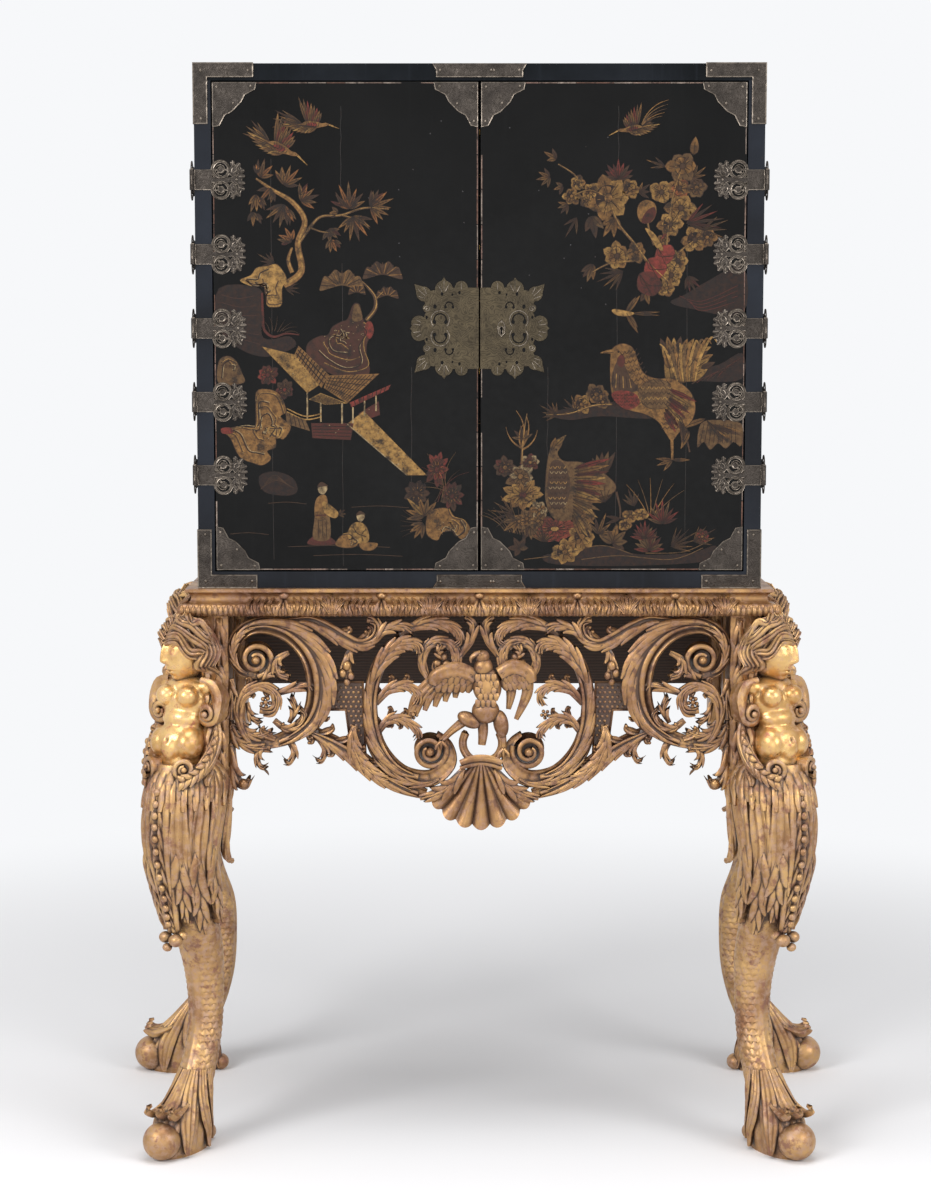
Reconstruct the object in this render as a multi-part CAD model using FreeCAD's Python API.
"""Lacquered cabinet on a carved giltwood stand.

A two-door black lacquer case stands on the top frame of a carved stand. Its doors hang on five
strap hinges each, with knuckles at the outer front corners of the case. Behind them are eleven
drawers on thin shelves. The stand has four cabriole legs that rise into carved busts, a pierced
apron of acanthus scrolls on the front and sides, and a plain board at the back.

Millimetres, +Z up, -Y is the front. The origin is on the floor, under the middle of the plan.
"""

import FreeCAD, Part
import math
import os

V = FreeCAD.Vector

# ---- case
CASE_WIDTH = 880.0
CASE_HEIGHT = 810.0
CASE_DEPTH = 470.0
CASE_BOARD = 26.0
BACK_BOARD = 12.0
BACK_REBATE = 8.0

# ---- doors
DOOR_THICK = 20.0
DOOR_GAP = 1.5
DOOR_EDGE_BEAD = 1.2

# ---- drawers: rows from the bottom up, as (share of the height, number of drawers)
DRAWER_ROWS = ((0.29, 2), (0.25, 3), (0.25, 3), (0.21, 3))
SHELF = 10.0
DRAWER_SETBACK = 26.0
DRAWER_PLAY = 1.0
DRAWER_FRONT = 14.0
DRAWER_SIDE = 8.0
DRAWER_BOTTOM = 6.0
KNOB_RADIUS = 7.0
KNOB_NECK = 3.0
KNOB_LENGTH = 16.0

# ---- brass plates and hinges
PLATE = 1.5
HINGE_COUNT = 5
HINGE_PITCH = 114.0
STRAP_HEIGHT = 31.0
KNUCKLE_RADIUS = 3.6
KNUCKLE_PLAY = 0.3
PIN_RADIUS = 1.3
PIN_CLEARANCE = 0.05
LEAF_NECK = 13.0
LEAF_RING = 15.0
LEAF_RING_HOLE = 10.5
LEAF_RING_OFFSET = 15.5
LEAF_TIP = 10.0
LEAF_TIP_HOLE = 5.5
LEAF_TIP_OFFSET = 13.0
LEAF_LAP = 2.0
LEAF_SPINE = 4.0
LEAF_BOSS = 5.0
LEAF_BAR = 1.2
CORNER_ARM = 92.0
CORNER_WIDTH = 21.0
DOOR_CORNER = 68.0
CENTRE_MOUNT = 146.0

# ---- lock and bolts
LOCK_PLATE_WIDTH = 108.0
LOCK_PLATE_HEIGHT = 156.0
LOCK_PLATE_NECK = 0.8
# leaf lobes round the plate: place across and up, as shares of its width and half height, and radius
LOCK_LOBES = ((0.26, 0.81, 9.5), (0.51, 0.77, 13.5), (0.66, 0.57, 14.0), (0.8, 0.68, 11.0),
              (0.75, 0.4, 6.5), (0.56, 0.17, 25.0), (0.87, 0.1, 11.5))
# the points of the leaves: place of the point and of the two sides of its root, in the same shares
LOCK_TIPS = (((0.51, 1.0), (0.45, 0.88), (0.57, 0.88)),
             ((0.93, 0.87), (0.76, 0.8), (0.89, 0.63)),
             ((1.0, 0.0), (0.9, 0.14), (0.9, -0.14)))
# pierced scrolls and eyes: place in the same shares, and radius
LOCK_SCROLLS = ((0.57, 0.16, 10.0), (0.46, 0.43, 6.5))
LOCK_EYES = ((0.27, 0.7, 2.6), (0.38, 0.65, 2.0), (0.63, 0.43, 2.8))
LOCK_SCROLL_CUT = 1.8
KEYHOLE_X = 34.0
KEYHOLE_RADIUS = 2.6
KEYHOLE_DROP = 9.0
LOCK_CASE = (96.0, 14.0, 64.0)
LOCK_WALL = 2.0
BOLT = (44.0, 6.0, 10.0)
BOLT_PLAY = 0.3
BOLT_THROW = 12.0
SLIDE_BOLT = (10.0, 5.0, 80.0)
SLIDE_TRAVEL = 15.0
SLIDE_SOCKET = 14.0
SLIDE_INSET = 30.0
SLIDE_BACKOFF = 3.0

# ---- stand: top frame and moulding
STAND_HEIGHT = 895.0
FRAME_HEIGHT = 42.0
FRAME_WIDTH = 44.0
MOULD_LEDGE = 20.0
MOULD_COVE = 11.0
MOULD_BEAD = 9.5
MOULD_REACH = 29.0
BACK_APRON_DEPTH = 168.0
BACK_APRON_THICK = 24.0

# ---- legs: a leg is drawn facing -Y about the middle of its post
FRONT_LEG_TURN = 30.0
REAR_LEG_TURN = 90.0
FRONT_POST_INSET = 10.0
FRONT_POST_BACK = 35.0
REAR_POST_INSET = 3.0
REAR_POST_BACK = 50.0
POST_HALF = 36.0
POST_TAPER = 70.0
POST_TIP_HALF = 14.0
BLOCK_HALF = 30.0
BLOCK_REACH = 40.0
BLOCK_BACK = 10.0
FIGURE_BASE = 604.0
BALL_RADIUS = 30.0
BALL_REACH = 137.0
HEEL_RADIUS = 14.0
HEEL_REACH = 16.0
KNEE_LEAF_HALF = 21.0
# share of the height under the figure, reach of the centre, half depth, half width
LEG_SECTIONS = (
    (1.0, 60.0, 86.0, 50.0),
    (0.947, 70.0, 82.0, 52.0),
    (0.894, 80.0, 75.0, 53.0),
    (0.781, 90.0, 59.0, 50.0),
    (0.623, 58.0, 46.0, 46.0),
    (0.513, 25.0, 34.0, 32.0),
    (0.406, 16.0, 28.0, 27.0),
    (0.3, 20.0, 27.0, 25.5),
    (0.197, 42.0, 33.0, 26.0),
    (0.116, 72.0, 46.0, 30.0),
    (0.05, 82.0, 60.0, 31.0),
    (0.0, 80.0, 57.0, 27.0),
)
# the lower end of the block behind the figure, from the side: reach and height from the figure's base
BLOCK_FOOT = ((-BLOCK_BACK, 0.0), (24.0, -130.0), (70.0, -90.0), (BLOCK_REACH, 0.0))
# the loose leaf in front of the knee: reach, share of that height and half thickness, ending in its curl
KNEE_LEAF = ((138.0, 0.877, 12.0), (139.0, 0.745, 10.0), (122.0, 0.649, 8.0), (118.0, 0.589, 9.0),
             (131.0, 0.568, 9.0))

# ---- figures on the legs: centre reach, centre height and radii across, outwards and upwards
HEAD = (57.0, 795.0, 35.0, 41.0, 54.0)
HAIR = (40.0, 806.0, 44.0, 38.0, 46.0)
CHEST = (64.0, 706.0, 46.0, 36.0, 38.0)
BELLY = (74.0, 650.0, 46.0, 46.0, 44.0)
NECK_RADIUS = 19.0
BREAST_RADIUS = 19.0
BREAST_HALF_GAP = 22.0
BREAST_REACH = 88.0
BREAST_HEIGHT = 712.0
ARM_VOLUTE = 16.0
ARM_VOLUTE_HEIGHT = 704.0
ARM_VOLUTE_SIDE = 46.0
ARM_VOLUTE_REACH = 44.0
ARM_VOLUTE_WIDTH = 24.0
SKIRT_VOLUTE = 18.0
SKIRT_VOLUTE_HEIGHT = FIGURE_BASE + 18.0
SKIRT_VOLUTE_REACH = 116.0
SKIRT_VOLUTE_WIDTH = 28.0

# ---- aprons: the pattern is drawn for this half span and this drop, and stretched to fit
APRON_THICK = 30.0
APRON_SETBACK = 4.0
APRON_DROP = 341.0
PATTERN_HALF_SPAN = 394.0
PATTERN_DROP = 341.0
SIDE_PATTERN = 176.0
VOLUTE_RADIUS = 27.0
EYE_RADIUS = 11.0
EYE_PROUD = 8.0
SHELL_TOP = 205.0
SHELL_RIBS = 7
SHELL_FAN = 92.0
SHELL_NECK = 5.0
SHELL_LIP = 13.0
SHELL_LEAN = 0.14
BIRD_PROUD = 20.0

# ---- derived places
FRONT_REACH = BALL_REACH * math.cos(math.radians(FRONT_LEG_TURN)) + BALL_RADIUS - FRONT_POST_BACK
REAR_REACH = ARM_VOLUTE_SIDE + ARM_VOLUTE - REAR_POST_BACK
FRONT_Y = (FRONT_REACH - REAR_REACH - CASE_DEPTH) / 2.0
BACK_Y = FRONT_Y + CASE_DEPTH
HALF = CASE_WIDTH / 2.0
CASE_Z = STAND_HEIGHT
CASE_TOP_Z = CASE_Z + CASE_HEIGHT
MID_Z = CASE_Z + CASE_HEIGHT / 2.0
INNER = HALF - CASE_BOARD
DOOR_BACK_Y = FRONT_Y + DOOR_THICK
DRAWER_Y = DOOR_BACK_Y + DRAWER_SETBACK
BACK_FACE_Y = BACK_Y - BACK_BOARD
HINGE_X = HALF + KNUCKLE_RADIUS
HINGE_Y = FRONT_Y - KNUCKLE_RADIUS
HINGE_HEIGHTS = [MID_Z + (k - (HINGE_COUNT - 1) / 2.0) * HINGE_PITCH for k in range(HINGE_COUNT)]
FRAME_Z = STAND_HEIGHT - FRAME_HEIGHT
FRONT_POST = (HALF - FRONT_POST_INSET, FRONT_Y + FRONT_POST_BACK)
REAR_POST = (HALF - REAR_POST_INSET, BACK_Y - REAR_POST_BACK)
APRON_HALF_SPAN = FRONT_POST[0] - POST_HALF

parts = {}


# ---- small makers

def box(x0, x1, y0, y1, z0, z1):
    """A block between two corners."""
    return Part.makeBox(x1 - x0, y1 - y0, z1 - z0, V(x0, y0, z0))


def cylinder(radius, start, end):
    """A round bar from one point to another."""
    return Part.makeCylinder(radius, (end - start).Length, start, end - start)


def ellipsoid(centre, radii):
    """A ball stretched along the three axes."""
    stretch = FreeCAD.Matrix()
    stretch.scale(*radii)
    ball = Part.makeSphere(1.0).transformGeometry(stretch)
    ball.translate(centre)
    return ball


def join(shapes):
    """One solid from shapes that touch or overlap."""
    whole = shapes[0]
    for shape in shapes[1:]:
        whole = whole.fuse(shape)
    whole = whole.removeSplitter()
    return whole.Solids[0] if len(whole.Solids) == 1 else whole


def mirror_x(shape):
    """The same shape on the other side of the cabinet."""
    return shape.mirror(V(0, 0, 0), V(1, 0, 0))


def polygon(points):
    """A flat face with straight sides."""
    return Part.Face(Part.makePolygon([V(*p) for p in points] + [V(*points[0])]))


def front_prism(points, y0, y1):
    """A shape drawn on the front as (x, z) points and given a thickness."""
    return polygon([(x, y0, z) for x, z in points]).extrude(V(0, y1 - y0, 0))


def arcs_through(points):
    """Arcs end to end, each through three of the points in turn."""
    edges = []
    for a, b, c in zip(points[0::2], points[1::2], points[2::2]):
        straight = (b - a).cross(c - b).Length < 1e-3 * (c - a).Length
        edges.append(Part.makeLine(a, c) if straight else Part.Arc(a, b, c).toShape())
    return edges


def stem(course, steps=12):
    """A scroll stem as a flat face: course is (x, z, half width) along its middle, with round ends."""
    middle = Part.BSplineCurve()
    middle.interpolate([V(x, 0, z) for x, z, _ in course])
    widths = Part.BSplineCurve()
    widths.interpolate(
        Points=[V(w, 0, k) for k, (_, _, w) in enumerate(course)],
        Parameters=[middle.parameter(V(x, 0, z)) for x, z, _ in course],
    )
    left, right = [], []
    first, last = middle.FirstParameter, middle.LastParameter
    for k in range(steps + 1):
        at = first + (last - first) * k / steps
        point, along = middle.value(at), middle.tangent(at)[0]
        side = V(along.z, 0, -along.x) * widths.value(at).x
        left.append(point + side)
        right.append(point - side)
    ends = []
    for at, sign in ((first, -1), (last, 1)):
        ends.append(middle.value(at) + middle.tangent(at)[0] * sign * widths.value(at).x)
    edges = arcs_through(left) + arcs_through([left[-1], ends[1], right[-1]])
    edges += arcs_through(right[::-1]) + arcs_through([right[0], ends[0], left[0]])
    return Part.Face(Part.Wire(edges))


def band(course, y0, y1, steps=12):
    """A scroll stem with a thickness."""
    solid = stem(course, steps).extrude(V(0, y1 - y0, 0))
    solid.translate(V(0, y0, 0))
    return solid


def merged(faces):
    """Flat faces that overlap, made into one outline with its piercings; stray offcuts are dropped."""
    flat = faces[0].fuse(faces[1:])
    uses = {}
    for face in flat.Faces:
        for edge in face.Edges:
            uses.setdefault(edge.hashCode(), []).append(edge)
    rim = [edges[0] for edges in uses.values() if len(edges) == 1]
    wires = [Part.Wire(chain) for chain in Part.sortEdges(rim)]
    return max(Part.makeFace(wires, "Part::FaceMakerBullseye").Faces, key=lambda f: f.Area)


def thicken(face, y0, y1):
    """A flat face given a thickness."""
    solid = face.extrude(V(0, y1 - y0, 0))
    solid.translate(V(0, y0, 0))
    return solid


def largest_solid(shape):
    """The main body of a trimmed carving, without its offcuts."""
    return max(shape.Solids, key=lambda s: s.Volume)


def keep(name, *shapes):
    """Files one named sub-part."""
    parts[name] = Part.makeCompound(list(shapes)) if len(shapes) > 1 else shapes[0]


# ---- case: boards lapped at the corners, with the back let into a rebate

def case_board_rebate():
    """The step round the inside of the back edge that the back board sits in."""
    edge = CASE_BOARD - BACK_REBATE
    return box(-HALF + edge, HALF - edge, BACK_FACE_Y, BACK_Y, CASE_Z + edge, CASE_TOP_Z - edge)


def make_case():
    rebate = case_board_rebate()
    for name, z0 in (("case_bottom", CASE_Z), ("case_top", CASE_TOP_Z - CASE_BOARD)):
        board = box(-HALF, HALF, FRONT_Y, BACK_Y, z0, z0 + CASE_BOARD).cut(rebate)
        board = board.cut(bolt_socket(name == "case_top"))
        if name == "case_top":
            board = board.cut([corner_flange(), mirror_x(corner_flange())])
        parts[name] = board
    for name, x0 in (("case_side_left", -HALF), ("case_side_right", HALF - CASE_BOARD)):
        z0, z1 = CASE_Z + CASE_BOARD, CASE_TOP_Z - CASE_BOARD
        parts[name] = box(x0, x0 + CASE_BOARD, FRONT_Y, BACK_Y, z0, z1).cut(rebate)
    parts["case_back"] = rebate


# ---- drawers: shelves, uprights and boxes on them

def drawer_grid():
    """The opening of each drawer as (x0, x1, z0, z1), row by row from the bottom."""
    z = CASE_Z + CASE_BOARD
    clear = CASE_HEIGHT - 2 * CASE_BOARD - SHELF * (len(DRAWER_ROWS) - 1)
    rows = []
    for share, count in DRAWER_ROWS:
        height = clear * share
        width = (2 * INNER - SHELF * (count - 1)) / count
        rows.append([(-INNER + k * (width + SHELF), -INNER + k * (width + SHELF) + width, z, z + height)
                     for k in range(count)])
        z += height + SHELF
    return rows


def make_drawer(opening):
    """The five boards of one drawer, shut in its opening."""
    x0, x1, z0, z1 = opening
    x0, x1, z1 = x0 + DRAWER_PLAY, x1 - DRAWER_PLAY, z1 - DRAWER_PLAY
    y0, y1 = DRAWER_Y, BACK_FACE_Y - DRAWER_SIDE
    inner_y = y0 + DRAWER_FRONT
    side_top = z1 - DRAWER_SIDE
    front = box(x0, x1, y0, inner_y, z0, z1)
    bottom = box(x0, x1, inner_y, y1, z0, z0 + DRAWER_BOTTOM)
    left = box(x0, x0 + DRAWER_SIDE, inner_y, y1, z0 + DRAWER_BOTTOM, side_top)
    right = box(x1 - DRAWER_SIDE, x1, inner_y, y1, z0 + DRAWER_BOTTOM, side_top)
    back = box(x0 + DRAWER_SIDE, x1 - DRAWER_SIDE, y1 - DRAWER_SIDE, y1, z0 + DRAWER_BOTTOM, side_top)
    return [front, bottom, left, right, back]


def make_knob(x, z):
    """A turned brass knob: a neck and a ball, its face rounded."""
    ball_z = KNOB_LENGTH - KNOB_RADIUS
    neck = cylinder(KNOB_NECK, V(0, 0, 0), V(0, 0, ball_z))
    rose = Part.makeCone(KNOB_RADIUS, KNOB_NECK, KNOB_NECK)
    knob = join([rose, neck, Part.makeSphere(KNOB_RADIUS, V(0, 0, ball_z))])
    knob.rotate(V(0, 0, 0), V(1, 0, 0), 90)
    knob.translate(V(x, DRAWER_Y, z))
    return knob


def make_drawers():
    rows = drawer_grid()
    shelves = [box(-INNER, INNER, DRAWER_Y, BACK_FACE_Y, row[0][3], row[0][3] + SHELF) for row in rows[:-1]]
    uprights, knobs = [], []
    for number, row in enumerate(rows, 1):
        uprights += [box(o[1], o[1] + SHELF, DRAWER_Y, BACK_FACE_Y, o[2], o[3]) for o in row[:-1]]
        knobs += [make_knob((o[0] + o[1]) / 2, (o[2] + o[3]) / 2) for o in row]
        boards = []
        for opening in row:
            boards += make_drawer(opening)
        keep("drawers_row_%d" % number, *boards)
    keep("drawer_shelves", *shelves)
    keep("drawer_uprights", *uprights)
    keep("drawer_knobs", *knobs)


# ---- doors

def keyhole(y0, y1):
    """The round and the slot under it that the key goes through."""
    eye = cylinder(KEYHOLE_RADIUS, V(KEYHOLE_X, y0, MID_Z), V(KEYHOLE_X, y1, MID_Z))
    half = KEYHOLE_RADIUS * 0.6
    return eye.fuse(box(KEYHOLE_X - half, KEYHOLE_X + half, y0, y1, MID_Z - KEYHOLE_DROP, MID_Z))


def make_doors():
    x0, x1 = DOOR_GAP, INNER - DOOR_GAP
    z0, z1 = CASE_Z + CASE_BOARD + DOOR_GAP, CASE_TOP_Z - CASE_BOARD - DOOR_GAP
    board = box(x0, x1, FRONT_Y, DOOR_BACK_Y, z0, z1)
    rim = [e for e in board.Edges if all(abs(v.Y - FRONT_Y) < 1e-6 for v in e.Vertexes)]
    board = board.makeFillet(DOOR_EDGE_BEAD, rim)
    parts["door_left"] = mirror_x(board)
    parts["door_right"] = board.cut(keyhole(FRONT_Y - 1, DOOR_BACK_Y + 1))


# ---- lock: engraved plates outside, an iron box lock and its bolt inside

def lock_plate_half():
    """The right half of the lock plate: leaf lobes round a plain middle, with pierced scrolls."""
    y0, y1 = FRONT_Y - PLATE, FRONT_Y
    wide, tall = LOCK_PLATE_WIDTH, LOCK_PLATE_HEIGHT / 2.0
    neck = tall * LOCK_PLATE_NECK
    pieces, holes = [], []
    for side in (-1, 1):
        def place(across, up, y=y0):
            return V(wide * across, y, MID_Z + side * tall * up)
        for across, up, radius in LOCK_LOBES:
            pieces.append(cylinder(radius, place(across, up), place(across, up, y1)))
        for tip in LOCK_TIPS:
            corners = [place(*corner) for corner in tip]
            pieces.append(front_prism([(p.x, p.z) for p in corners], y0, y1))
        for across, up, size in LOCK_SCROLLS:
            centre = place(across, up)
            course = [(centre.x + size * math.cos(a), centre.z + side * size * math.sin(a), LOCK_SCROLL_CUT)
                      for a in [math.radians(d) for d in (-40, 25, 90, 155, 220)]]
            holes.append(band(course, y0 - 1, y1 + 1, 8))
        for across, up, radius in LOCK_EYES:
            holes.append(cylinder(radius, place(across, up, y0 - 1), place(across, up, y1 + 1)))
    middle = box(DOOR_GAP, wide / 2.0, y0, y1, MID_Z - neck, MID_Z + neck)
    return middle.fuse(pieces).removeSplitter().cut(holes)


def make_lock():
    plate = lock_plate_half()
    parts["lock_plate_left"] = mirror_x(plate)
    parts["lock_plate_right"] = plate.cut(keyhole(FRONT_Y - PLATE - 1, FRONT_Y + 1))
    shield = [(-6, 3), (-4, 9), (0, 11), (4, 9), (6, 3), (5, -8), (0, -13), (-5, -8)]
    shield = front_prism([(KEYHOLE_X + x, MID_Z + z) for x, z in shield], FRONT_Y - 2 * PLATE, FRONT_Y - PLATE)
    parts["keyhole_escutcheon"] = shield.cut(keyhole(FRONT_Y - 2 * PLATE - 1, FRONT_Y + 1))

    wide, deep, tall = LOCK_CASE
    case = box(DOOR_GAP, DOOR_GAP + wide, DOOR_BACK_Y, DOOR_BACK_Y + deep, MID_Z - tall / 2, MID_Z + tall / 2)
    inner_x, inner_z = DOOR_GAP + LOCK_WALL, tall / 2 - LOCK_WALL
    hollow = box(inner_x, DOOR_GAP + wide - LOCK_WALL, DOOR_BACK_Y, DOOR_BACK_Y + deep - LOCK_WALL,
                 MID_Z - inner_z, MID_Z + inner_z)
    length, thick, height = BOLT
    y0 = DOOR_BACK_Y + BOLT_PLAY
    z0 = MID_Z + KEYHOLE_DROP
    mouth = box(0, inner_x, y0 - BOLT_PLAY, y0 + thick + BOLT_PLAY,
                z0 - BOLT_PLAY, z0 + height + BOLT_PLAY)
    parts["lock_case"] = case.cut([hollow, mouth])
    bolt = box(DOOR_GAP, DOOR_GAP + length, y0, y0 + thick, z0, z0 + height)
    talon = cylinder(KEYHOLE_DROP * 0.35, V(KEYHOLE_X, y0 - 1, z0), V(KEYHOLE_X, y0 + thick + 1, z0))
    parts["lock_bolt"] = bolt.cut(talon)
    reach = BOLT_THROW + 6.0
    strike = box(-DOOR_GAP - reach, -DOOR_GAP, DOOR_BACK_Y, y0 + thick + LOCK_WALL + BOLT_PLAY,
                 z0 - LOCK_WALL * 2, z0 + height + LOCK_WALL * 2)
    pocket = box(-DOOR_GAP - BOLT_THROW - 2.0, -DOOR_GAP, y0 - BOLT_PLAY, y0 + thick + BOLT_PLAY,
                 z0 - BOLT_PLAY, z0 + height + BOLT_PLAY)
    parts["lock_strike"] = strike.cut(pocket)


# ---- slide bolts inside the left door, one up and one down

def slide_bolt_place():
    """The sides and faces of the slide bolts: x0, x1, y0, y1."""
    x1, y0 = -DOOR_GAP - SLIDE_INSET, DOOR_BACK_Y + BOLT_PLAY
    return x1 - SLIDE_BOLT[0], x1, y0, y0 + SLIDE_BOLT[1]


def bolt_socket(upper):
    """The hole in the case board that a slide bolt is shot into."""
    x0, x1, y0, y1 = slide_bolt_place()
    z0 = CASE_TOP_Z - CASE_BOARD if upper else CASE_Z + CASE_BOARD - SLIDE_SOCKET
    play = 2 * BOLT_PLAY
    return box(x0 - play, x1 + play, y0 - play, y1 + play, z0, z0 + SLIDE_SOCKET)


def make_slide_bolts():
    x0, x1, y0, y1 = slide_bolt_place()
    staples = []
    for name, way in (("slide_bolt_top", 1), ("slide_bolt_bottom", -1)):
        tip = MID_Z + way * (CASE_HEIGHT / 2 - CASE_BOARD - SLIDE_BACKOFF)
        tail = tip - way * SLIDE_BOLT[2]
        bar = box(x0, x1, y0, y1, min(tip, tail), max(tip, tail))
        nose = tail + way * SLIDE_BOLT[2] * 0.12
        grip = cylinder(SLIDE_BOLT[1] * 0.7, V((x0 + x1) / 2, y1, nose), V((x0 + x1) / 2, y1 + 9.0, nose))
        parts[name] = bar.fuse(grip)
        for share in (0.22, 0.52):
            z = tip - way * SLIDE_BOLT[2] * share
            loop = box(x0 - 5, x1 + 5, DOOR_BACK_Y, y1 + 2, z - 4, z + 4)
            gap = box(x0 - BOLT_PLAY, x1 + BOLT_PLAY, DOOR_BACK_Y, y1 + BOLT_PLAY, z - 5, z + 5)
            staples.append(loop.cut(gap))
    keep("slide_bolt_staples", *staples)


# ---- hinges: pierced leaves on the door and on the side of the case, joined by a pin

def leaf_flat(start):
    """A pierced hinge leaf, lying behind y = 0, running in +X from start; z is about its middle."""
    neck = start + LEAF_NECK
    ring_x = neck + LEAF_RING - LEAF_LAP
    tip_x = ring_x + LEAF_RING + LEAF_TIP - LEAF_LAP
    ring_z, tip_z = LEAF_RING_OFFSET, LEAF_TIP_OFFSET
    strap = box(start, neck, -PLATE, 0, -STRAP_HEIGHT / 2, STRAP_HEIGHT / 2)
    spine = box(neck, tip_x + LEAF_TIP, -PLATE, 0, -LEAF_SPINE, LEAF_SPINE)
    solid, holes, bars = [strap, spine], [], []
    for side in (-1, 1):
        rings = ((ring_x, ring_z, LEAF_RING, LEAF_RING_HOLE), (tip_x, tip_z, LEAF_TIP, LEAF_TIP_HOLE))
        for x, z, outer, inner in rings:
            centre = V(x, -PLATE, side * z)
            solid.append(cylinder(outer, centre, centre + V(0, PLATE, 0)))
            holes.append(cylinder(inner, centre, centre + V(0, PLATE, 0)))
        boss = V(ring_x, -PLATE, side * ring_z)
        bars.append(cylinder(LEAF_BOSS, boss, boss + V(0, PLATE, 0)))
        bars.append(box(ring_x - LEAF_RING + 1, ring_x + LEAF_RING - 1, -PLATE, 0,
                        side * ring_z - LEAF_BAR, side * ring_z + LEAF_BAR))
    leaf = solid[0].fuse(solid[1:]).cut(holes)
    spine = box(neck - 1, tip_x + LEAF_TIP, -PLATE, 0, -LEAF_SPINE, LEAF_SPINE)
    return join([leaf, spine] + bars)


def knuckle(z0, z1):
    """One round of a hinge barrel, on the Z axis."""
    return cylinder(KNUCKLE_RADIUS, V(0, 0, z0), V(0, 0, z1))


def hinge_set(height):
    """The door leaf, the case leaf and the pin of one right-hand hinge."""
    half, middle = STRAP_HEIGHT / 2, STRAP_HEIGHT / 4
    clear = KNUCKLE_RADIUS + KNUCKLE_PLAY
    bore = cylinder(PIN_RADIUS + PIN_CLEARANCE, V(0, 0, -half - 1), V(0, 0, half + 1))

    flat = leaf_flat(CASE_BOARD - LEAF_NECK + KNUCKLE_RADIUS + DOOR_GAP)
    reach = CASE_BOARD - LEAF_NECK + KNUCKLE_RADIUS + DOOR_GAP
    strap = box(clear, reach, -PLATE, 0, -half, half)
    flat = join([flat, strap])
    flat.translate(V(0, KNUCKLE_RADIUS, 0))
    middle_z = middle - KNUCKLE_PLAY
    tongue = box(0, clear, KNUCKLE_RADIUS - PLATE, KNUCKLE_RADIUS, -middle_z, middle_z)
    door_leaf = join([flat, tongue, knuckle(-middle_z, middle_z)]).cut(bore)
    door_leaf = door_leaf.mirror(V(0, 0, 0), V(1, 0, 0))

    side = leaf_flat(clear)
    side.translate(V(0, KNUCKLE_RADIUS, 0))
    rounds = []
    for z0, z1 in ((-half, -middle), (middle, half)):
        rounds.append(knuckle(z0, z1))
        rounds.append(box(0, clear, KNUCKLE_RADIUS - PLATE, KNUCKLE_RADIUS, z0, z1))
    case_leaf = join([side] + rounds).cut(bore)
    case_leaf = case_leaf.mirror(V(0, 0, 0), V(0, 1, 0))
    case_leaf.rotate(V(0, 0, 0), V(0, 0, 1), 90)

    pin = cylinder(PIN_RADIUS, V(0, 0, -half), V(0, 0, half))
    cap = cylinder(KNUCKLE_RADIUS * 0.8, V(0, 0, half), V(0, 0, half + 1.5))
    pin = pin.fuse(cap)
    for shape in (door_leaf, case_leaf, pin):
        shape.translate(V(HINGE_X, HINGE_Y, height))
    return door_leaf, case_leaf, pin


def make_hinges():
    sets = [hinge_set(z) for z in HINGE_HEIGHTS]
    for column, name in enumerate(("hinge_door_leaves", "hinge_case_leaves", "hinge_pins")):
        right = [one[column] for one in sets]
        keep(name + "_right", *right)
        keep(name + "_left", *[mirror_x(s) for s in right])


# ---- brass corner pieces

def corner_flange():
    """The flange of the top right corner piece, let in flush with the top of the case."""
    return box(HALF - CORNER_ARM, HALF, FRONT_Y, FRONT_Y + CORNER_WIDTH, CASE_TOP_Z - PLATE, CASE_TOP_Z)


def case_corner():
    """The top right corner piece: an L on the front with a raised lip, wrapped over the side and top."""
    x0, x1, z0, z1 = HALF - CORNER_ARM, HALF, CASE_TOP_Z - CORNER_ARM, CASE_TOP_Z
    y = FRONT_Y
    return join([
        box(x0, x1 + PLATE, y - PLATE, y, z1 - CORNER_WIDTH, z1 + PLATE),
        box(x1 - CORNER_WIDTH, x1 + PLATE, y - PLATE, y, z0, z1 + PLATE),
        box(x1, x1 + PLATE, y - PLATE, y + CORNER_WIDTH, z0, z1 + PLATE),
        corner_flange(),
    ])


def lower_case_corner():
    """The bottom right corner piece, which lies on the front and the side only."""
    x1, z0, y = HALF, CASE_Z, FRONT_Y
    return join([
        box(x1 - CORNER_ARM, x1 + PLATE, y - PLATE, y, z0, z0 + CORNER_WIDTH),
        box(x1 - CORNER_WIDTH, x1 + PLATE, y - PLATE, y, z0, z0 + CORNER_ARM),
        box(x1, x1 + PLATE, y - PLATE, y + CORNER_WIDTH, z0, z0 + CORNER_ARM),
    ])


def door_corner(x, z, way_x, way_z):
    """A cusped corner plate: its outline steps in two ogees from one edge to the other."""
    size = DOOR_CORNER
    steps = ((1.0, 0.0), (0.97, 0.16), (0.74, 0.28), (0.66, 0.44), (0.55, 0.55),
             (0.44, 0.66), (0.28, 0.74), (0.16, 0.97), (0.0, 1.0))
    outline = [(x, z)] + [(x + way_x * size * a, z + way_z * size * b) for a, b in steps]
    return front_prism(outline, FRONT_Y - PLATE, FRONT_Y)


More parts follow.
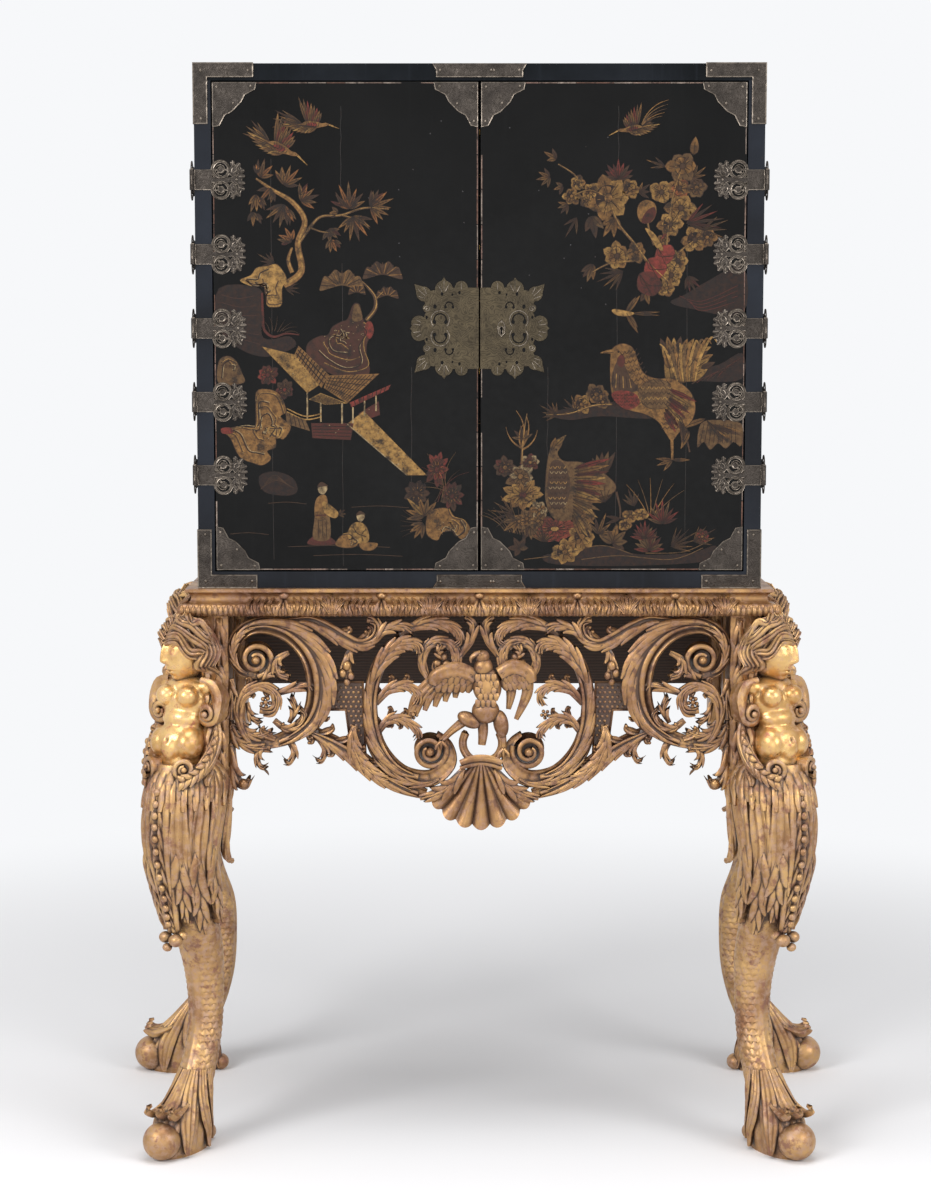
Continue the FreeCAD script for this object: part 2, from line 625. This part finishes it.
def make_corner_mounts():
    upper, lower = case_corner(), lower_case_corner()
    keep("case_corner_mounts", upper, mirror_x(upper), lower, mirror_x(lower))
    half, notch = CENTRE_MOUNT / 2, CORNER_WIDTH * 0.3
    strips = []
    for z, way in ((CASE_TOP_Z, -1), (CASE_Z, 1)):
        outline = [(-half, 0), (-half + notch, CORNER_WIDTH * 0.5), (-half + notch, CORNER_WIDTH),
                   (half - notch, CORNER_WIDTH), (half - notch, CORNER_WIDTH * 0.5), (half, 0)]
        strips.append(front_prism([(x, z + way * h) for x, h in outline], FRONT_Y - PLATE, FRONT_Y))
    keep("centre_mounts", *strips)
    inset = DOOR_EDGE_BEAD
    x0, x1 = DOOR_GAP + inset, INNER - DOOR_GAP - inset
    z0 = CASE_Z + CASE_BOARD + DOOR_GAP + inset
    z1 = CASE_TOP_Z - CASE_BOARD - DOOR_GAP - inset
    right = [door_corner(x, z, way_x, way_z)
             for x, way_x in ((x0, 1), (x1, -1)) for z, way_z in ((z0, 1), (z1, -1))]
    keep("door_corner_mounts_right", *right)
    keep("door_corner_mounts_left", *[mirror_x(s) for s in right])


# ---- stand: top frame and carved moulding

def moulding_section():
    """The moulding's section as a face on x = 0, reaching out to -Y from the frame at y = 0."""
    top, bottom = STAND_HEIGHT, FRAME_Z
    bead_z = bottom + MOULD_BEAD
    neck_z = bead_z + MOULD_BEAD
    fillet = 5.0
    cove = Part.Arc(V(0, -MOULD_LEDGE, top - fillet), V(0, -MOULD_COVE, (top - fillet + neck_z) / 2),
                    V(0, -MOULD_REACH + MOULD_BEAD, neck_z))
    bead = Part.Arc(V(0, -MOULD_REACH + MOULD_BEAD, neck_z), V(0, -MOULD_REACH, bead_z),
                    V(0, -MOULD_REACH + MOULD_BEAD, bottom))
    wire = Part.Wire([
        Part.makeLine(V(0, 0, top), V(0, -MOULD_LEDGE, top)),
        Part.makeLine(V(0, -MOULD_LEDGE, top), V(0, -MOULD_LEDGE, top - fillet)),
        cove.toShape(),
        bead.toShape(),
        Part.makeLine(V(0, -MOULD_REACH + MOULD_BEAD, bottom), V(0, 0, bottom)),
        Part.makeLine(V(0, 0, bottom), V(0, 0, top)),
    ])
    return Part.Face(wire)


def make_moulding():
    reach = MOULD_REACH + 1
    front = moulding_section().extrude(V(CASE_WIDTH + 2 * reach, 0, 0))
    front.translate(V(-HALF - reach, FRONT_Y, 0))
    outer = HALF + reach
    plan = [(-outer, FRONT_Y - reach), (outer, FRONT_Y - reach), (HALF, FRONT_Y), (-HALF, FRONT_Y)]
    mitre = polygon([(x, y, FRAME_Z) for x, y in plan]).extrude(V(0, 0, FRAME_HEIGHT))
    parts["stand_moulding_front"] = front.common(mitre)
    side = moulding_section().extrude(V(CASE_DEPTH + reach, 0, 0))
    side.rotate(V(0, 0, 0), V(0, 0, 1), 90)
    side.translate(V(HALF, FRONT_Y - reach, 0))
    plan = [(HALF, FRONT_Y), (HALF + reach, FRONT_Y - reach), (HALF + reach, BACK_Y), (HALF, BACK_Y)]
    mitre = polygon([(x, y, FRAME_Z) for x, y in plan]).extrude(V(0, 0, FRAME_HEIGHT))
    side = side.common(mitre)
    parts["stand_moulding_right"] = side
    parts["stand_moulding_left"] = mirror_x(side)


def make_top_frame():
    z0, z1, w = FRAME_Z, STAND_HEIGHT, FRAME_WIDTH
    parts["stand_rail_front"] = box(-HALF, HALF, FRONT_Y, FRONT_Y + w, z0, z1)
    parts["stand_rail_rear"] = box(-HALF, HALF, BACK_Y - w, BACK_Y, z0, z1)
    parts["stand_rail_left"] = box(-HALF, -HALF + w, FRONT_Y + w, BACK_Y - w, z0, z1)
    parts["stand_rail_right"] = box(HALF - w, HALF, FRONT_Y + w, BACK_Y - w, z0, z1)


# ---- legs

def place_leg(shape, post, turn):
    """Turns a piece that was drawn facing -Y and sets it at its corner of the stand."""
    shape = shape.copy()
    shape.rotate(V(0, 0, 0), V(0, 0, 1), turn)
    shape.translate(V(post[0], post[1], 0))
    return shape


def oval(height, reach, half_depth, half_width):
    """One level section of the leg."""
    points = []
    for k in range(8):
        angle = math.pi * k / 4
        points.append(V(half_width * math.cos(angle), -reach + half_depth * math.sin(angle), height))
    curve = Part.BSplineCurve()
    curve.interpolate(points, PeriodicFlag=True)
    return Part.Wire(curve.toShape())


def side_on(shape):
    """Turns a piece drawn on the front, with x as its reach, to stand along the leg."""
    shape.rotate(V(0, 0, 0), V(0, 0, 1), -90)
    return shape


def make_leg():
    """The cabriole leg with its post above, drawn facing -Y."""
    sections = [oval(z * FIGURE_BASE, reach, deep, wide) for z, reach, deep, wide in LEG_SECTIONS]
    sweep = Part.makeLoft(sections, True, False)
    profile = [(reach, FIGURE_BASE + height) for reach, height in BLOCK_FOOT]
    profile = [(-BLOCK_BACK, FRAME_Z)] + profile + [(BLOCK_REACH, FRAME_Z)]
    block = side_on(front_prism(profile, -BLOCK_HALF, BLOCK_HALF))
    leaf = side_on(band([(r, z * FIGURE_BASE, w) for r, z, w in KNEE_LEAF], -KNEE_LEAF_HALF, KNEE_LEAF_HALF))
    ball = Part.makeSphere(BALL_RADIUS, V(0, -BALL_REACH, BALL_RADIUS))
    heel = Part.makeSphere(HEEL_RADIUS, V(0, -HEEL_REACH, HEEL_RADIUS))
    return join([sweep, block, leaf, ball, heel])


def square(x, y, z, half):
    """A level square outline."""
    corners = [V(x + a * half, y + b * half, z) for a, b in ((-1, -1), (1, -1), (1, 1), (-1, 1))]
    return Part.makePolygon(corners + [corners[0]])


def make_post(post):
    """The square post of a leg, in line with the frame, tapered at its foot towards the outside."""
    x, y = post
    trunk = box(x - POST_HALF, x + POST_HALF, y - POST_HALF, y + POST_HALF, FIGURE_BASE, FRAME_Z)
    shift = POST_HALF - POST_TIP_HALF
    foot = Part.makeLoft([square(x, y, FIGURE_BASE, POST_HALF),
                          square(x + shift, y, FIGURE_BASE - POST_TAPER, POST_TIP_HALF)], True, True)
    return trunk, foot


def make_figure():
    """The bust that rises from the knee, flat at the back where it is glued to the post."""
    pieces = []
    for reach, height, across, outwards, upwards in (HEAD, HAIR, CHEST, BELLY):
        pieces.append(ellipsoid(V(0, -reach, height), (across, outwards, upwards)))
    pieces.append(cylinder(NECK_RADIUS, V(0, -CHEST[0] + 6, CHEST[1]), V(0, -HEAD[0] + 6, HEAD[1])))
    for side in (-1, 1):
        pieces.append(Part.makeSphere(BREAST_RADIUS, V(side * BREAST_HALF_GAP, -BREAST_REACH, BREAST_HEIGHT)))
        at = V(side * ARM_VOLUTE_SIDE, -ARM_VOLUTE_REACH - ARM_VOLUTE_WIDTH, ARM_VOLUTE_HEIGHT)
        pieces.append(cylinder(ARM_VOLUTE, at, at + V(0, ARM_VOLUTE_WIDTH * 1.6, 0)))
    at = V(-SKIRT_VOLUTE_WIDTH / 2, -SKIRT_VOLUTE_REACH, SKIRT_VOLUTE_HEIGHT)
    pieces.append(cylinder(SKIRT_VOLUTE, at, at + V(SKIRT_VOLUTE_WIDTH, 0, 0)))
    room = box(-HALF, HALF, -CASE_DEPTH, -BLOCK_REACH, FIGURE_BASE, FRAME_Z)
    return join(pieces).common(room)


def make_legs():
    leg, figure = make_leg(), make_figure()
    for end, post, turn in (("front", FRONT_POST, FRONT_LEG_TURN), ("rear", REAR_POST, REAR_LEG_TURN)):
        trunk, foot = make_post(post)
        right = join([place_leg(leg, post, turn), trunk, foot])
        parts["leg_%s_right" % end] = right
        parts["leg_%s_left" % end] = mirror_x(right)
        parts["figure_%s_right" % end] = largest_solid(place_leg(figure, post, turn).cut(trunk))
        other = largest_solid(place_leg(figure, (-post[0], post[1]), -turn).cut(mirror_x(trunk)))
        parts["figure_%s_left" % end] = other


# ---- aprons: each course lists (distance from the middle, drop below the frame, half width)

# the great leafy C beside the leg, wound round its volute
GREAT_SCROLL = ((349, 97, 6), (374, 88, 8), (387, 60, 9), (375, 30, 12), (344, 16, 14), (298, 26, 17),
                (262, 62, 20), (250, 112, 21), (262, 160, 18), (296, 191, 14), (342, 204, 10), (392, 198, 9))
GREAT_EYE = (351, 71)
# the small swirl inside it, its leaf, and the leaf tips along its lower edge
GREAT_SPRIGS = (
    ((360, 200, 7), (378, 168, 8), (374, 130, 8), (346, 112, 7), (320, 128, 7), (326, 152, 7), (346, 150, 6)),
    ((324, 126, 6), (298, 118, 8), (266, 112, 9)),
    ((324, 168, 5), (306, 178, 7), (280, 176, 8)),
    ((390, 206, 10), (388, 238, 11), (381, 266, 11)),
    ((338, 206, 9), (348, 224, 7), (344, 238, 4)),
    ((302, 198, 9), (292, 218, 7), (296, 232, 4)),
    ((262, 184, 10), (244, 212, 8), (246, 228, 4)),
    ((392, 102, 6), (388, 132, 8), (391, 164, 6)),
)
# the leaf that runs along under the frame to a hook, its bud, and the lower border with its sheath
TOP_LEAF = ((300, 12, 9), (258, 8, 9), (222, 31, 11), (187, 45, 11), (163, 34, 9), (161, 9, 8))
BUD_STEM = ((198, 50, 5), (203, 80, 9), (206, 110, 6))
LOWER_BORDER = ((268, 190, 9), (228, 202, 11), (190, 222, 12), (160, 250, 11), (128, 270, 9), (96, 280, 7))
SHEATH = ((182, 170, 7), (189, 204, 11), (176, 240, 9))
# the diapered tablet between the scrolls, as (distance, drop)
TABLET = ((236, 106), (182, 106), (178, 222), (204, 216), (212, 153), (236, 153))
# the inner scroll that frames the bird, and its leaves
INNER_SCROLL = ((72, 190, 6), (44, 206, 9), (43, 240, 11), (76, 261, 12), (124, 250, 13), (158, 210, 13),
                (170, 155, 11), (166, 102, 10), (146, 60, 10), (112, 28, 8))
INNER_EYE = (78, 217)
INNER_SPRIGS = (
    ((118, 30, 8), (88, 12, 9), (46, 14, 9), (22, 30, 6)),
    ((162, 96, 11), (136, 50, 12), (98, 52, 7)),
    ((72, 106, 5), (88, 82, 6), (85, 53, 6), (62, 41, 6), (39, 56, 6), (39, 82, 6), (55, 94, 5), (70, 82, 5),
     (64, 68, 5)),
    ((162, 138, 8), (138, 116, 8), (110, 112, 8), (93, 128, 7), (100, 146, 6)),
    ((160, 186, 8), (142, 164, 8), (116, 166, 8), (92, 190, 8)),
    ((34, 62, 6), (14, 34, 9), (12, 4, 9)),
)
# the bird, left and right wings and legs, its neck and tail; the body and head also stand proud
BIRD_LEFT = (((10, 104, 16), (34, 98, 20), (66, 118, 18), (86, 142, 13), (103, 164, 6)),
             ((4, 138, 16), (28, 146, 13), (46, 166, 9), (62, 192, 7)))
BIRD_RIGHT = (((8, 100, 15), (40, 92, 17), (65, 104, 17), (68, 130, 15), (57, 154, 7)),
              ((4, 138, 16), (30, 146, 13), (43, 166, 9), (40, 198, 8)),
              ((4, 150, 14), (9, 174, 8), (6, 204, 8)))
BIRD_NECK = ((4, 150, 22), (2, 112, 18), (-3, 72, 12))
BIRD_BODY = (4, 122, 24, 40)
BIRD_HEAD = (-3, 68, 12, 14)
# the stem and the tie in the middle of a side apron
SIDE_PALM = ((0, 6, 10), (0, 100, 14), (0, 214, 12))
SIDE_TIE = ((-60, 196, 10), (0, 206, 14), (60, 196, 10))


def fit_course(course, start, way, half_span):
    """A course laid out from start towards +X (way 1) or -X, stretched to the half span."""
    across, down = half_span / PATTERN_HALF_SPAN, APRON_DROP / PATTERN_DROP
    return [(start + way * across * x, FRAME_Z - down * drop, w * across) for x, drop, w in course]


def fit_eye(place, start, way, half_span, y0, y1):
    """The round eye of a volute, standing proud of its scroll."""
    x, z, _ = fit_course([(place[0], place[1], 0)], start, way, half_span)[0]
    return cylinder(EYE_RADIUS * half_span / PATTERN_HALF_SPAN, V(x, y0 - EYE_PROUD, z), V(x, y1, z))


def fit_disc(place, start, way, half_span):
    """The flat disc of a volute, under its eye, which the scroll winds on to."""
    x, z, _ = fit_course([(place[0], place[1], 0)], start, way, half_span)[0]
    edge = Part.makeCircle(VOLUTE_RADIUS * half_span / PATTERN_HALF_SPAN, V(x, 0, z), V(0, 1, 0))
    return Part.Face(Part.Wire(edge))


def leg_scrolls(start, way, half_span):
    """The flat outlines of the carving beside a leg."""
    faces = [stem(fit_course(GREAT_SCROLL, start, way, half_span), 40)]
    faces += [stem(fit_course(c, start, way, half_span)) for c in GREAT_SPRIGS]
    return faces + [fit_disc(GREAT_EYE, start, way, half_span)]


def inside(face, x0, x1):
    """The part of a flat outline that lies between two sides and below the frame."""
    window = polygon([(x0, 0, 0), (x1, 0, 0), (x1, 0, FRAME_Z), (x0, 0, FRAME_Z)])
    return max(face.common(window).Faces, key=lambda f: f.Area)


def bird_outline():
    """The flat outline of the displayed bird: neck and breast, wings and legs."""
    faces = [stem(fit_course(BIRD_NECK, 0, 1, APRON_HALF_SPAN))]
    for way, courses in ((-1, BIRD_LEFT), (1, BIRD_RIGHT)):
        faces += [stem(fit_course(c, 0, way, APRON_HALF_SPAN)) for c in courses]
    return merged(faces)


def make_bird(outline, y0, y1):
    """The bird in the middle, its body and head proud of the scrolls."""
    bird = thicken(outline, y0 - BIRD_PROUD * 0.4, y1)
    for x, drop, wide, tall in (BIRD_BODY, BIRD_HEAD):
        at = fit_course([(x, drop, wide)], 0, 1, APRON_HALF_SPAN)[0]
        bird = bird.fuse(ellipsoid(V(at[0], y0, at[1]), (at[2], BIRD_PROUD, tall)))
    return bird


def make_shell(y0, y1):
    """The scallop shell that hangs in the middle: ribs that fan out and swell to the lip."""
    top_drop = SHELL_TOP * APRON_DROP / PATTERN_DROP
    top = V(0, (y0 + y1) / 2 + SHELL_NECK, FRAME_Z - top_drop)
    length = APRON_DROP - top_drop - SHELL_LIP
    ribs = []
    for k in range(SHELL_RIBS):
        angle = math.radians(SHELL_FAN * (k / (SHELL_RIBS - 1.0) - 0.5))
        way = V(math.sin(angle), -SHELL_LEAN, -math.cos(angle)) * length * (0.84 + 0.16 * math.cos(angle * 2.6))
        ribs.append(Part.makeCone(SHELL_NECK, SHELL_LIP, way.Length, top, way))
        ribs.append(Part.makeSphere(SHELL_LIP, top + way))
    collar = cylinder(SHELL_LIP + 1.0, top - V(33, 6, 0), top + V(33, -6, 0))
    shell = ribs[0].fuse(ribs[1:] + [collar])
    return shell.common(box(-HALF, HALF, y0 - APRON_THICK, y1, 0, FRAME_Z))


def make_front_apron():
    y0, y1 = FRONT_Y + APRON_SETBACK, FRONT_Y + APRON_SETBACK + APRON_THICK
    span = APRON_HALF_SPAN
    shell = make_shell(y0, y1)
    bird = bird_outline()
    faces = []
    for way in (-1, 1):
        faces += [stem(fit_course(c, 0, way, span), 30) for c in (INNER_SCROLL,) + INNER_SPRIGS]
        faces.append(fit_disc(INNER_EYE, 0, way, span))
    centre = inside(merged(faces + [bird]), -span, span)
    tablet = polygon([(x, 0, z) for x, z, _ in fit_course([(x, d, 0) for x, d in TABLET], 0, 1, span)])
    faces = leg_scrolls(0, 1, span) + [tablet]
    faces += [stem(fit_course(c, 0, 1, span)) for c in (TOP_LEAF, BUD_STEM, LOWER_BORDER, SHEATH)]
    side = inside(merged(faces), 0, span)
    side = max(side.cut(centre).Faces, key=lambda f: f.Area)
    right = thicken(side, y0, y1).fuse(fit_eye(GREAT_EYE, 0, 1, span, y0, y1)).cut(shell)
    right = largest_solid(right)
    parts["apron_front_right"] = right
    parts["apron_front_left"] = mirror_x(right)
    bird = make_bird(bird, y0, y1)
    scrolls = thicken(centre, y0, y1)
    for way in (-1, 1):
        scrolls = scrolls.fuse(fit_eye(INNER_EYE, 0, way, span, y0, y1))
    scrolls = scrolls.cut([bird, shell])
    keep("apron_front_centre", *[p for p in scrolls.Solids if p.Volume > APRON_THICK ** 3 / 8])
    parts["apron_front_bird"] = largest_solid(bird.cut(shell))
    parts["apron_front_shell"] = shell


def make_side_aprons():
    """Shorter aprons of the same scrolls, drawn along X and turned to the side."""
    start, end = FRONT_POST[1] + POST_HALF, REAR_POST[1] - POST_HALF
    middle, half_span = (start + end) / 2, (end - start) / 2 * PATTERN_HALF_SPAN / SIDE_PATTERN
    faces = []
    for way, edge in ((-1, start), (1, end)):
        faces += leg_scrolls(edge - way * half_span, way, half_span)
    for course in (SIDE_PALM, SIDE_TIE):
        faces.append(stem([(middle + x, FRAME_Z - drop, w) for x, drop, w in course]))
    apron = thicken(inside(merged(faces), start, end), 0, APRON_THICK)
    for way, edge in ((-1, start), (1, end)):
        apron = apron.fuse(fit_eye(GREAT_EYE, edge - way * half_span, way, half_span, 0, APRON_THICK))
    apron.rotate(V(0, 0, 0), V(0, 0, 1), 90)
    apron.translate(V(HALF - APRON_SETBACK, 0, 0))
    parts["apron_side_right"] = apron
    parts["apron_side_left"] = mirror_x(apron)


def make_back_apron():
    """The plain board across the back, between the posts."""
    edge, y1 = REAR_POST[0] - POST_HALF, REAR_POST[1] + POST_HALF
    parts["apron_back"] = box(-edge, edge, y1 - BACK_APRON_THICK, y1, FRAME_Z - BACK_APRON_DEPTH, FRAME_Z)


# ---- assembly

def main():
    os.makedirs("parts", exist_ok=True)
    make_case()
    make_drawers()
    make_doors()
    make_lock()
    make_slide_bolts()
    make_hinges()
    make_corner_mounts()
    make_moulding()
    make_top_frame()
    make_legs()
    make_front_apron()
    make_side_aprons()
    make_back_apron()
    for name, shape in parts.items():
        if not shape.isValid() or not all(s.isValid() for s in shape.Solids):
            print("not valid:", name)
        print("%-26s solids %2d volume %.0f" % (name, len(shape.Solids), shape.Volume))
        shape.exportStep("parts/%s.step" % name)


main()
